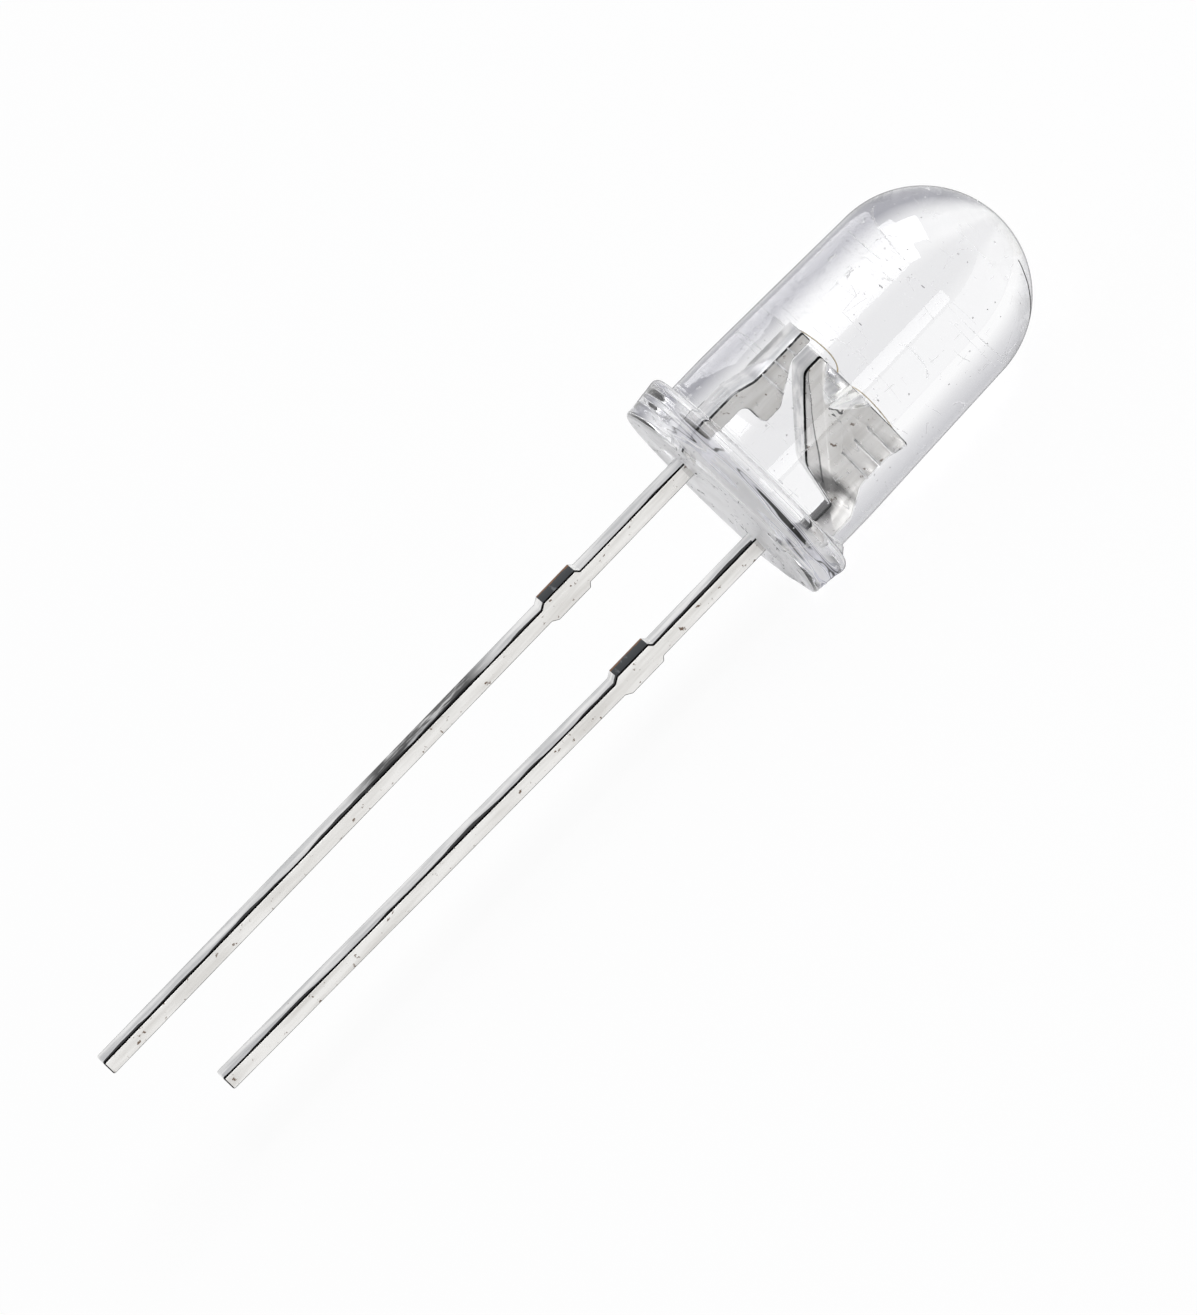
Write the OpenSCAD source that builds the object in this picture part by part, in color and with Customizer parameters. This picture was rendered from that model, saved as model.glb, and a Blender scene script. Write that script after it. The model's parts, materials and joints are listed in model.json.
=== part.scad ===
// Through-hole light emitting diode: clear round lens with a flange, two square
// leads stamped from one sheet, and inside them a chip in a reflector cup with
// its two bond wires. All sizes are in millimetres.
//
// Each shape is drawn standing, with z up the diode's axis from the seating
// ring under the flange and x from the axis towards the cathode. lay() then
// turns it down onto the flat of its flange: +X runs along the axis to the
// dome, -Z is the cathode side with the flat, and the origin stays on the axis
// in the plane of the ring.

/* [Lens] */
// Diameter of the barrel where it leaves the flange
barrel_d = 5.0; // [4.8:0.1:5.4]
// Height of the straight band of the barrel above the flange
land_h = 1.0; // [0.6:0.1:1.4]
// Diameter of the dome's sphere
dome_d = 4.76; // [4.5:0.02:4.8]
// Height from the seating ring under the flange to the top of the dome
body_h = 8.75; // [8.2:0.05:9.4]
// Diameter of the flange
flange_d = 5.8; // [5.6:0.1:6.2]
// Thickness of the flange
flange_t = 1.1; // [0.9:0.05:1.2]
// Radius of the flange's upper edge
flange_top_r = 0.16; // [0.05:0.01:0.2]
// Radius of the flange's lower edge
flange_low_r = 0.08; // [0.04:0.01:0.2]
// Depth of the shallow dish that the resin set to, inside the seating ring
dish_deep = 0.2; // [0.1:0.01:0.3]
// Width of the seating ring around the dish
seat_w = 0.22; // [0.1:0.02:0.4]

/* [Leads] */
// Distance between the centres of the two leads
pitch = 2.54; // [2.44:0.02:2.64]
// Width of a lead across the sheet
lead_w = 0.38; // [0.34:0.02:0.5]
// Thickness of the sheet that both leads are stamped from
sheet_t = 0.5; // [0.4:0.02:0.54]
// Length of the anode lead below the seating ring
anode_len = 17.85; // [8:0.05:28]
// Length of the cathode lead below the seating ring
cathode_len = 16.3; // [7:0.05:27]
// How far the cathode lead leans inwards below its tie-bar stub, in degrees
cathode_lean = 0.86; // [0:0.02:1.5]
// Distance from the seating ring down to the tie-bar stubs
stub_drop = 3.1; // [2:0.05:4.5]
// Height of a tie-bar stub along its lead
stub_h = 1.2; // [0.8:0.1:1.6]
// How far a tie-bar stub stands out on each side of its lead
stub_out = 0.1; // [0.04:0.01:0.2]
// Height of the slope above a tie-bar stub
stub_rise = 0.08; // [0.04:0.01:0.2]
// Height of the slope below a tie-bar stub
stub_fall = 0.15; // [0.04:0.01:0.2]

/* [Lead frame inside the lens] */
// Height of the anvil, the cathode's broad top that holds the cup
anvil_top = 3.8; // [3.7:0.01:3.9]
// Reach of the anvil past the axis, towards the anode
anvil_reach = 0.69; // [0.62:0.01:0.74]
// Height of the lowest point of the anvil's slanted side
anvil_heel = 1.72; // [1.6:0.02:1.8]
// Distance from the axis to the bend where the slanted side starts to rise
anvil_belly = 0.42; // [0.3:0.02:0.5]
// Gap between the anvil and the post
frame_gap = 0.34; // [0.28:0.01:0.38]
// How far the waist of each frame is set in from the outer side of its lead
waist_in = 0.24; // [0.16:0.01:0.3]
// Height of the post, the anode's top that takes the wire
post_top = 3.9; // [3.8:0.01:4]
// Width of the post at its top
post_w = 0.27; // [0.2:0.01:0.3]
// How far the post's wing reaches in from its lead
wing_out = 0.54; // [0.44:0.01:0.58]
// Height of the underside of the post's wing
wing_low = 1.92; // [1.8:0.02:2]
// Width of the anchor grooves pressed across both frames
groove_w = 0.06; // [0.04:0.01:0.1]
// Distance from one anchor groove to the next
groove_step = 0.39; // [0.3:0.01:0.42]

/* [Reflector cup] */
// Diameter of the cup inside its rim
cup_d = 0.96; // [0.88:0.02:1]
// Depth of the cup
cup_deep = 0.3; // [0.26:0.01:0.34]
// Diameter of the cup's floor
cup_floor_d = 0.54; // [0.48:0.02:0.6]
// Width of the cup's rim
cup_rim = 0.09; // [0.06:0.01:0.12]
// Height of the cup's shell below its rim
cup_shell_h = 0.72; // [0.64:0.02:0.8]
// Diameter at the bottom of the cup's shell
cup_shell_d = 0.45; // [0.36:0.01:0.48]

/* [Chip and wires] */
// Side of the square chip
die_w = 0.3; // [0.24:0.01:0.32]
// Height of the chip
die_h = 0.1; // [0.08:0.01:0.12]
// Diameter of the bed of adhesive under the chip
bed_d = 0.44; // [0.42:0.01:0.46]
// Thickness of the bed of adhesive
bed_h = 0.02; // [0.01:0.005:0.03]
// Diameter of a bond pad on the chip
pad_d = 0.09; // [0.08:0.005:0.1]
// Thickness of a bond pad
pad_h = 0.01; // [0.008:0.001:0.012]
// Distance from the chip's centre to the centre of each pad
pad_off = 0.085; // [0.07:0.005:0.095]
// Diameter of the gold bond wire
wire_d = 0.03; // [0.02:0.005:0.04]
// Diameter of the ball at the chip end of a wire
ball_d = 0.075; // [0.06:0.005:0.08]
// Height of the ball
ball_h = 0.03; // [0.02:0.005:0.04]
// Length of the flattened stitch at the frame end of a wire
stitch_len = 0.12; // [0.08:0.01:0.16]
// Height of the anode wire's loop above the post
anode_loop = 0.1; // [0.08:0.01:0.4]
// Height that the cathode wire's loop is drawn up above the anvil
cathode_loop = 0.12; // [0.1:0.01:0.4]
// Distance from the cathode wire's stitch to the anvil's outer side
stitch_in = 0.2; // [0.14:0.01:0.24]

/* [Hidden] */
$fn = 96;
// A cut runs this far past the face it cuts
past = 0.2;

// Lens: the cone between the straight band and the dome touches the sphere,
// so its upper end is the tangent point as seen from the band's top
dome_r = dome_d / 2;
dome_z = body_h - dome_r;
land_top = flange_t + land_h;
land_gap = sqrt(pow(barrel_d / 2, 2) + pow(dome_z - land_top, 2));
tangent_a = acos(dome_r / land_gap) - atan2(dome_z - land_top, barrel_d / 2);
tangent_r = dome_r * cos(tangent_a);
tangent_z = dome_z + dome_r * sin(tangent_a);
// The flat is flush with the barrel
flat_x = barrel_d / 2;
// Radius of the dish's edge, and of the sphere that it is part of
dish_rim = flange_d / 2 - flange_low_r - seat_w;
dish_r = (dish_rim * dish_rim + dish_deep * dish_deep) / (2 * dish_deep);

// Lead edges, measured from the axis
lead_out = pitch / 2 + lead_w / 2;
lead_in = pitch / 2 - lead_w / 2;
waist_x = lead_out - waist_in;

// Frame corners: the slanted sides of anvil and post run side by side. Each
// rise is measured from the anvil's heel, and the slants stop brow_h short of
// the anvil's top.
anvil_flare = 0.08;
belly_rise = 0.21;
waist_rise = 0.72;
shoulder_rise = 0.12;
brow_h = 0.49;
wing_h = 0.5;
belly_z = anvil_heel + belly_rise;
waist_low = anvil_heel + waist_rise;
shoulder_z = anvil_heel + shoulder_rise;
slope_top = anvil_top - brow_h;
post_in = anvil_reach + frame_gap;
post_out = post_in + post_w;
wing_in = lead_in - wing_out;
wing_top = wing_low + wing_h;

// Radii of the sheet's corners: its cut ends, the wing's tip and root, and
// the soft bends of the outline
edge_r = 0.05;
wing_tip_r = 0.14;
wing_root_r = 0.18;
bend_r = 0.3;

// Anchor grooves, counted down from the anvil's top, and clear of the cup
groove_n = 3;
groove_drop = 0.4;
groove_gap = 0.1;
groove_first = anvil_top - groove_drop;
anvil_groove_in = cup_d / 2 + cup_rim + groove_gap;

// Chip stack, from the floor of the cup upwards
bed_z = anvil_top - cup_deep;
die_z = bed_z + bed_h;
pad_z = die_z + die_h;
ball_z = pad_z + pad_h;
wire_z = ball_z + ball_h / 2;
post_x = -(post_out - post_w / 2);
anvil_x = waist_x - stitch_in;

// Wires: how far each leans out as it rises from its ball, and how far it
// runs level before it dips to its stitch
anode_lean = 0.02;
anode_level = 0.5;
cathode_rise = 0.06;
cathode_level = 0.4;
wire_steps = 16;
wire_sides = 8;

// Points of an outline whose corners [x, y, r] are rounded to radius r
function unit(v) = v / norm(v);
function corner(a, b, c) =
    let (p = [b[0], b[1]],
         u = unit([a[0], a[1]] - p),
         v = unit([c[0], c[1]] - p),
         half = acos(u * v) / 2,
         mid = p + unit(u + v) * b[2] / sin(half),
         start = p + u * b[2] / tan(half) - mid,
         end = p + v * b[2] / tan(half) - mid,
         from = atan2(start[1], start[0]),
         turn = atan2(start[0] * end[1] - start[1] * end[0], start * end),
         steps = max(2, ceil(abs(turn) / 12)))
    [for (i = [0:steps]) mid + b[2] * [cos(from + turn * i / steps),
                                       sin(from + turn * i / steps)]];
function rounded(pts) =
    let (n = len(pts))
    [for (i = [0:n - 1]) each corner(pts[(i + n - 1) % n], pts[i],
                                     pts[(i + 1) % n])];

// Point and direction on a cubic curve through four control points
function bezier(p, t) = pow(1 - t, 3) * p[0] + 3 * pow(1 - t, 2) * t * p[1]
    + 3 * (1 - t) * t * t * p[2] + pow(t, 3) * p[3];
function bezier_dir(p, t) = unit(pow(1 - t, 2) * (p[1] - p[0])
    + 2 * (1 - t) * t * (p[2] - p[1]) + t * t * (p[3] - p[2]));

// Turns a standing shape down onto the flat of its flange
module lay() { rotate([0, 90, 0]) children(); }

// Outline of the lens to one side of the axis
module lens_profile() {
    polygon([[0, 0], [flange_d / 2 - flange_low_r, 0],
             for (a = [-75:15:0]) [flange_d / 2 - flange_low_r, flange_low_r]
                 + flange_low_r * [cos(a), sin(a)],
             for (a = [0:15:90]) [flange_d / 2 - flange_top_r, flange_t - flange_top_r]
                 + flange_top_r * [cos(a), sin(a)],
             [0, flange_t]]);
}

// The flange, with the flat that marks the cathode and the dish underneath
module flange() {
    difference() {
        rotate_extrude() lens_profile();
        translate([flat_x, -flange_d, -past])
            cube([flange_d, 2 * flange_d, flange_t + 2 * past]);
        translate([0, 0, dish_deep - dish_r]) sphere(r = dish_r);
    }
}

// The barrel: straight band, drafted cone and domed end
module barrel() {
    rotate_extrude() {
        polygon([[0, flange_t], [barrel_d / 2, flange_t], [barrel_d / 2, land_top],
                 [tangent_r, tangent_z], [0, tangent_z]]);
        intersection() {
            translate([0, dome_z]) circle(r = dome_r);
            translate([0, tangent_z]) square([dome_r, dome_r]);
        }
    }
}

// Lens, cast as one piece around everything that it holds
module epoxy_lens() {
    color([0.9, 0.9, 0.94, 0.35]) lay() difference() {
        union() {
            flange();
            barrel();
        }
        anode_shape();
        cathode_shape();
        bed_shape();
        die_shape();
        pad_shape(-1);
        pad_shape(1);
        wire_shape(anode_route());
        wire_shape(cathode_route());
    }
}

// Sheet metal: an outline in the plane of the leads, as thick as the sheet
module sheet(pts) {
    translate([0, sheet_t / 2, 0]) rotate([90, 0, 0])
        linear_extrude(height = sheet_t) polygon(rounded(pts));
}

// Outer and inner side of a lead below the flange, with its stub; the lead
// leans by lean millimetres at its tip, and side is the side's own distance
function lead_side(side, out, long, lean) = [
    [side, -stub_drop, edge_r],
    [side + out, -stub_drop - stub_rise, edge_r],
    [side + out, -stub_drop - stub_h + stub_fall, edge_r],
    [side, -stub_drop - stub_h, edge_r],
    [side - lean, -long, edge_r]];
function reversed(v) = [for (i = [len(v) - 1:-1:0]) v[i]];
function mirrored(v) = [for (p = v) [-p[0], p[1], p[2]]];

// Anode: lead, stub and the post that takes the wire
module anode_shape() {
    difference() {
        sheet(mirrored(concat(
            [[post_out, post_top, edge_r], [post_out, wing_top, bend_r],
             [lead_out, wing_low, bend_r]],
            lead_side(lead_out, stub_out, anode_len, 0),
            reversed(lead_side(lead_in, -stub_out, anode_len, 0)),
            [[lead_in, wing_low, wing_root_r], [wing_in, wing_low, wing_tip_r],
             [wing_in, wing_top, bend_r], [post_in, slope_top, bend_r],
             [post_in, post_top, edge_r]])));
        mirror([1, 0, 0]) grooves(wing_in, post_out);
    }
}

// Cathode: lead, stub and the anvil with the cup
module cathode_shape() {
    lean = (cathode_len - stub_drop - stub_h) * tan(cathode_lean);
    difference() {
        union() {
            sheet(concat(
                [[waist_x + anvil_flare, anvil_top, edge_r], [waist_x, slope_top, bend_r],
                 [waist_x, waist_low, bend_r], [lead_out, shoulder_z, bend_r]],
                lead_side(lead_out, stub_out, cathode_len, lean),
                reversed(lead_side(lead_in, -stub_out, cathode_len, lean)),
                [[lead_in, anvil_heel, edge_r], [anvil_belly, belly_z, bend_r],
                 [-anvil_reach, slope_top, bend_r], [-anvil_reach, anvil_top, edge_r]]));
            cup_shell();
        }
        cup_hollow();
        grooves(anvil_groove_in, lead_out);
    }
}

// Outer shell of the cup, pressed out of both faces of the anvil
module cup_shell() {
    translate([0, 0, anvil_top - cup_shell_h])
        cylinder(h = cup_shell_h, d1 = cup_shell_d, d2 = cup_d + 2 * cup_rim);
}

// Hollow of the cup, open at the rim
module cup_hollow() {
    slope = (cup_d - cup_floor_d) / cup_deep;
    translate([0, 0, anvil_top - cup_deep])
        cylinder(h = cup_deep + past, d1 = cup_floor_d,
                 d2 = cup_d + slope * past);
}

// Anchor grooves across both faces of a frame, from one distance to another
module grooves(from, to) {
    for (i = [0:groove_n - 1], side = [-1, 1])
        translate([from, side * sheet_t / 2, groove_first - i * groove_step])
            rotate([45, 0, 0])
                cube([to - from + past, groove_w / sqrt(2), groove_w / sqrt(2)]);
}

// Bed of adhesive on the floor of the cup
module bed_shape() {
    translate([0, 0, bed_z]) cylinder(h = bed_h, d = bed_d);
}

// Square chip on its bed
module die_shape() {
    translate([-die_w / 2, -die_w / 2, die_z]) cube([die_w, die_w, die_h]);
}

// Bond pad on the chip: side is -1 towards the anode and 1 towards the cathode
module pad_shape(side) {
    translate([side * pad_off, 0, pad_z]) cylinder(h = pad_h, d = pad_d);
}

// Control points [x, z] of each wire's loop, from its ball to its stitch: up
// from the chip, level over the frame and down to it. A cubic curve stays
// below its control points, so the anode's first one stands higher than its
// crest by a third of the rise.
function anode_route() =
    let (crest = post_top + anode_loop)
    [[-pad_off, wire_z], [-pad_off - anode_lean, crest + (crest - wire_z) / 3],
     [post_x + anode_level, crest], [post_x, post_top + wire_d / 2]];
function cathode_route() =
    let (crest = anvil_top + cathode_loop)
    [[pad_off, wire_z], [pad_off + cathode_rise, crest],
     [anvil_x - cathode_level, crest], [anvil_x, anvil_top + wire_d / 2]];

// Gold wire: ball on its pad, round loop and flattened stitch on the frame
module wire_shape(route) {
    foot = route[3] - [0, wire_d / 2];
    translate([route[0][0], 0, ball_z]) cylinder(h = ball_h, d = ball_d);
    translate([foot[0] - stitch_len / 2, -wire_d, foot[1]])
        cube([stitch_len, 2 * wire_d, wire_d * 0.6]);
    wire_loop(route);
}

// The loop itself, a round tube swept along the route
module wire_loop(route) {
    ring = [for (k = [0:wire_sides - 1]) 360 * k / wire_sides];
    points = [for (i = [0:wire_steps])
        let (p = bezier(route, i / wire_steps), d = bezier_dir(route, i / wire_steps))
        for (a = ring) [p[0] - d[1] * wire_d / 2 * cos(a), wire_d / 2 * sin(a),
                        p[1] + d[0] * wire_d / 2 * cos(a)]];
    sides = [for (i = [0:wire_steps - 1], k = [0:wire_sides - 1])
        let (next = (k + 1) % wire_sides)
        [i * wire_sides + k, i * wire_sides + next,
         (i + 1) * wire_sides + next, (i + 1) * wire_sides + k]];
    first = [for (k = [wire_sides - 1:-1:0]) k];
    last = [for (k = [0:wire_sides - 1]) wire_steps * wire_sides + k];
    polyhedron(points = points, faces = concat([first], sides, [last]), convexity = 4);
}

module anode_lead() { color([0.78, 0.78, 0.76]) lay() anode_shape(); }
module cathode_lead() { color([0.74, 0.74, 0.72]) lay() cathode_shape(); }
module die_attach() { color([0.85, 0.85, 0.8]) lay() bed_shape(); }
module led_die() { color([0.55, 0.62, 0.72]) lay() die_shape(); }
module p_pad() { color([0.85, 0.66, 0.3]) lay() pad_shape(-1); }
module n_pad() { color([0.85, 0.66, 0.3]) lay() pad_shape(1); }
module anode_wire() { color([0.85, 0.66, 0.3]) lay() wire_shape(anode_route()); }
module cathode_wire() { color([0.85, 0.66, 0.3]) lay() wire_shape(cathode_route()); }

epoxy_lens();
anode_lead();
cathode_lead();
die_attach();
led_die();
p_pad();
n_pad();
anode_wire();
cathode_wire();
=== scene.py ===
"""A clear, round, through-hole light emitting diode, lying on the flat of its flange.

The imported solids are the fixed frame. The lens is cast here as one clear body, so that its
refraction shows the stamped frames, the chip and the bond wires inside it, and the stamped
leads get the soft edges, sheared sides and tinned faces that sheet metal has.

Lengths of the object are in metres. MM turns a drawing size in millimetres into metres. The
finishes work in millimetres, because NodeSheet.place gives the coordinates so.
Drawing directions: +X runs up the diode's axis to the dome, -Z is the cathode side.
"""
from __future__ import annotations

import json
import logging
import math
import random
from dataclasses import dataclass, field
from enum import Enum

import bmesh
import bpy
from mathutils import Matrix, Vector, noise

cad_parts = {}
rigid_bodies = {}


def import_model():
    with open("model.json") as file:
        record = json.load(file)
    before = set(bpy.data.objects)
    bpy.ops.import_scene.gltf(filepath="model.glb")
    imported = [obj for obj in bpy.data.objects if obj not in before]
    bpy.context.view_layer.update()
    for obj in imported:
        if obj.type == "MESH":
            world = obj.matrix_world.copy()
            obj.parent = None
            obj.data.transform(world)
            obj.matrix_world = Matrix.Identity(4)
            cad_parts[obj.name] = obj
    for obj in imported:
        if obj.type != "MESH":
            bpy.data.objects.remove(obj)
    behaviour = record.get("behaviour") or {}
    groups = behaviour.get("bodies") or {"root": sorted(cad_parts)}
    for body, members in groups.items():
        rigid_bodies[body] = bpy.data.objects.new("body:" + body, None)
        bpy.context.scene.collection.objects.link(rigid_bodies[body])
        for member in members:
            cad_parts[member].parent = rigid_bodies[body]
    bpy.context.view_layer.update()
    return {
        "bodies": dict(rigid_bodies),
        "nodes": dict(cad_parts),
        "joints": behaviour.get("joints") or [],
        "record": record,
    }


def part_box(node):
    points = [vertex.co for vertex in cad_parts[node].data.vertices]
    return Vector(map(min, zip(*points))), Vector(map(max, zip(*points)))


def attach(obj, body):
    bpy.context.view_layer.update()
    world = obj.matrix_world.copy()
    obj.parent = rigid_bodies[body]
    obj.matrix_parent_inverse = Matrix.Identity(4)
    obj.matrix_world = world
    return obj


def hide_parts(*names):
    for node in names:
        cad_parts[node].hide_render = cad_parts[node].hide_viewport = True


LOG = logging.getLogger("led")
MM = 0.001
ROOT = "root"
HALF_SHEET = 0.25 * MM
HALF_LEAD = 0.19 * MM
Triple = tuple[float, float, float]
Pair = tuple[float, float]
Colour = Triple
Socket = bpy.types.NodeSocket


class Side(Enum):
    """The two sides of the diode, and the sign of Z on each."""

    ANODE = 1.0
    CATHODE = -1.0

    @property
    def word(self) -> str:
        """The side's name as the names of its pieces start."""
        return self.name.lower()


class Skin(Enum):
    """The kinds of face on a stamped lead, as slots of its mesh."""

    ROLLED = 0
    SHEARED = 1
    # CORNER and RIM faces carry painted dark lines of reflection; TURNED faces are mostly pale metal.
    CORNER = 2
    TURNED = 3
    CUT = 4
    CUP = 5
    SHADED = 6
    RIM = 7


def grey(level: float) -> Colour:
    """Returns a neutral colour of that level."""
    return (level, level, level)


def toned(colour: Colour, share: float) -> Colour:
    """Returns a colour brought down to a share of its brightness."""
    return tuple(share * part for part in colour)


def smooth_step(low: float, high: float, value: float) -> float:
    """Eases from 0 to 1 between two limits.

    Args:
        low: where the rise starts.
        high: where the rise ends.
        value: the place to measure.

    Returns:
        The eased share, from 0 to 1.
    """
    share = min(1.0, max(0.0, (value - low) / (high - low)))
    return share * share * (3.0 - 2.0 * share)


def straight(start: Pair, end: Pair, steps: int) -> list[Pair]:
    """Lays out even points along a straight stretch of a section, without its start.

    Args:
        start: height and radius where it starts.
        end: height and radius where it ends.
        steps: number of points.

    Returns:
        Height along the axis and radius of each point.
    """
    return [(start[0] + (end[0] - start[0]) * i / steps, start[1] + (end[1] - start[1]) * i / steps)
            for i in range(1, steps + 1)]


def arc(centre: Pair, radius: float, start: float, end: float, steps: int) -> list[Pair]:
    """Lays out even points along a round stretch of a section, without its start.

    Args:
        centre: height and radius of the arc's own centre.
        radius: the arc's own radius.
        start: angle of its start, where 0 points outward and 90 degrees up the axis.
        end: angle of its end.
        steps: number of points.

    Returns:
        Height along the axis and radius of each point.
    """
    turns = [start + (end - start) * i / steps for i in range(1, steps + 1)]
    return [(centre[0] + radius * math.sin(t), centre[1] + radius * math.cos(t)) for t in turns]


@dataclass
class NodeSheet:
    """A material or world with a clear node tree and short ways to fill it."""

    owner: bpy.types.ID

    def __post_init__(self) -> None:
        """Empties the tree and keeps it at hand."""
        self.owner.use_nodes = True
        self.tree = self.owner.node_tree
        self.tree.nodes.clear()

    @classmethod
    def named(cls, name: str) -> NodeSheet:
        """Starts a new material of that name."""
        return cls(bpy.data.materials.new(name))

    def give(self, socket: Socket, value: object) -> None:
        """Links or sets one input.

        Args:
            socket: the input.
            value: another node's output, a number, a vector or a colour.
        """
        if isinstance(value, Socket):
            self.tree.links.new(value, socket)
        elif socket.type == "RGBA" and len(value) == 3:
            socket.default_value = (*value, 1.0)
        else:
            socket.default_value = value

    def add(self, kind: str, *values: object, **settings: object) -> bpy.types.Node:
        """Adds a node.

        Args:
            kind: the node's type name.
            values: what its first inputs get, in order.
            settings: properties of the node to set.

        Returns:
            The new node.
        """
        node = self.tree.nodes.new(kind)
        for name, value in settings.items():
            setattr(node, name, value)
        for socket, value in zip(node.inputs, values):
            self.give(socket, value)
        return node

    def feed(self, node: bpy.types.Node, **values: object) -> bpy.types.Node:
        """Gives a node's inputs their values by name, with underscores for blanks.

        Args:
            node: the node to feed.
            values: what each named input gets.

        Returns:
            The same node.
        """
        for name, value in values.items():
            self.give(node.inputs[name.replace("_", " ")], value)
        return node

    def math(self, kind: str, *values: object) -> Socket:
        """Returns the result of a Math node of that kind, such as ADD."""
        return self.add("ShaderNodeMath", *values, operation=kind).outputs[0]

    def times(self, *values: object) -> Socket:
        """Multiplies two or more numbers.

        Args:
            values: numbers or sockets.

        Returns:
            Their product.
        """
        product, *others = values
        for other in others:
            product = self.math("MULTIPLY", product, other)
        return product

    def below(self, value: Socket, limit: object) -> Socket:
        """Returns 1 where a value is under a limit, and 0 elsewhere."""
        return self.math("LESS_THAN", value, limit)

    def above(self, value: Socket, limit: object) -> Socket:
        """Returns 1 where a value is over a limit, and 0 elsewhere."""
        return self.math("GREATER_THAN", value, limit)

    def within(self, value: Socket, limit: object) -> Socket:
        """Returns 1 where a value is nearer to 0 than a limit, and 0 elsewhere."""
        return self.below(self.math("ABSOLUTE", value), limit)

    def hairline(self, source: Socket, half: float) -> Socket:
        """Returns 1 along the thin lines where a noise passes its middle value."""
        return self.within(self.math("SUBTRACT", source, 0.5), half)

    def wobble(self, source: Socket, spread: float, middle: float = 0.0) -> Socket:
        """Turns a noise into a number that strays from a middle by half a spread."""
        return self.math("MULTIPLY_ADD", source, spread, middle - spread / 2.0)

    def place(self, scale: Triple = (1.0, 1.0, 1.0)) -> Socket:
        """Measures the surface in the object's own coordinates.

        Args:
            scale: what each axis is multiplied by.

        Returns:
            The coordinates in millimetres, times the scale.
        """
        where = self.add("ShaderNodeTexCoord").outputs["Object"]
        mapping = self.add("ShaderNodeMapping", where)
        return self.feed(mapping, Scale=[share / MM for share in scale]).outputs[0]

    def axes(self, vector: Socket | None = None) -> list[Socket]:
        """Splits a vector.

        Args:
            vector: the vector, or nothing for the place in millimetres.

        Returns:
            Its X, Y and Z.
        """
        source = self.place() if vector is None else vector
        return list(self.add("ShaderNodeSeparateXYZ", source).outputs)

    def seen_from(self, at: Triple, turn: Triple = (0.0, 0.0, 0.0),
                  reach: Triple = (1.0, 1.0, 1.0)) -> Socket:
        """Measures the surface from a small frame of its own.

        Args:
            at: the frame's origin, in millimetres.
            turn: its turn about the three axes.
            reach: the length that counts as 1 along each of them.

        Returns:
            The coordinates in that frame.
        """
        mapping = self.add("ShaderNodeMapping", self.place(), vector_type="TEXTURE")
        return self.feed(mapping, Location=at, Rotation=turn, Scale=reach).outputs[0]

    def distance(self, vector: Socket) -> Socket:
        """Returns the length of a vector."""
        return self.add("ShaderNodeVectorMath", vector, operation="LENGTH").outputs["Value"]

    def noise(self, scale: float, detail: float = 2.0, stretch: Triple = (1.0, 1.0, 1.0),
              rough: float = 0.5) -> Socket:
        """Adds noise over the object's own coordinates.

        Args:
            scale: features to the millimetre.
            detail: layers of finer noise.
            stretch: scale along each axis.
            rough: weight of the finer layers.

        Returns:
            The noise, from 0 to 1.
        """
        node = self.add("ShaderNodeTexNoise")
        self.feed(node, Vector=self.place(stretch), Scale=scale, Detail=detail, Roughness=rough)
        return node.outputs["Fac"]

    def ramp(self, value: Socket, *stops: tuple[float, Colour]) -> Socket:
        """Turns a value into a colour by a ramp of stops.

        Args:
            value: the value to look up.
            stops: position and colour of each stop.

        Returns:
            The colour.
        """
        node = self.add("ShaderNodeValToRGB", value)
        elements = node.color_ramp.elements
        while len(elements) < len(stops):
            elements.new(1.0)
        for element, (position, colour) in zip(elements, stops):
            element.position = position
            element.color = (*colour, 1.0)
        return node.outputs["Color"]

    def levels(self, value: Socket, *stops: Pair) -> Socket:
        """Turns a value into a grey level by a ramp of positions and levels."""
        return self.ramp(value, *((position, grey(level)) for position, level in stops))

    def mottled(self, source: Socket, colour: Colour, share: float) -> Socket:
        """Returns a colour that a noise brings down in places to a share of it."""
        return self.ramp(source, (0.3, toned(colour, share)), (0.7, colour))

    def mixed(self, share: Socket, under: object, over: object) -> Socket:
        """Lays one colour over another.

        Args:
            share: how much of the upper colour shows, from 0 to 1.
            under: the lower colour.
            over: the upper colour.

        Returns:
            The mixed colour.
        """
        node = self.add("ShaderNodeMix", share, data_type="RGBA")
        self.give(node.inputs[6], under)
        self.give(node.inputs[7], over)
        return node.outputs[2]

    def blended(self, share: Socket, under: Socket, over: Socket) -> Socket:
        """Returns one shader laid over another by a share."""
        return self.add("ShaderNodeMixShader", share, under, over).outputs[0]

    def dull(self, colour: object) -> Socket:
        """Returns a matt shader of that colour."""
        return self.add("ShaderNodeBsdfDiffuse", colour).outputs[0]

    def surface(self, **values: object) -> Socket:
        """Returns the main shader, with the inputs that are named."""
        return self.feed(self.add("ShaderNodeBsdfPrincipled"), **values).outputs[0]

    def ray(self, kind: str) -> Socket:
        """Returns 1 for rays of that kind, such as Camera."""
        return self.add("ShaderNodeLightPath").outputs[f"Is {kind} Ray"]

    def bump(self, height: Socket, depth: float, under: Socket | None = None) -> Socket:
        """Adds a bump of that height.

        Args:
            height: the height, from 0 to 1.
            depth: how far 1 stands out, in metres.
            under: another bump that this one lies on.

        Returns:
            The bent normal.
        """
        node = self.feed(self.add("ShaderNodeBump"), Height=height, Distance=depth)
        if under is not None:
            self.feed(node, Normal=under)
        return node.outputs[0]

    def finish(self, shader: Socket) -> bpy.types.ID:
        """Leads the shader to the output.

        Args:
            shader: the finished shader.

        Returns:
            The material or world.
        """
        kind = "World" if isinstance(self.owner, bpy.types.World) else "Material"
        self.add(f"ShaderNodeOutput{kind}", shader)
        return self.owner


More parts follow.
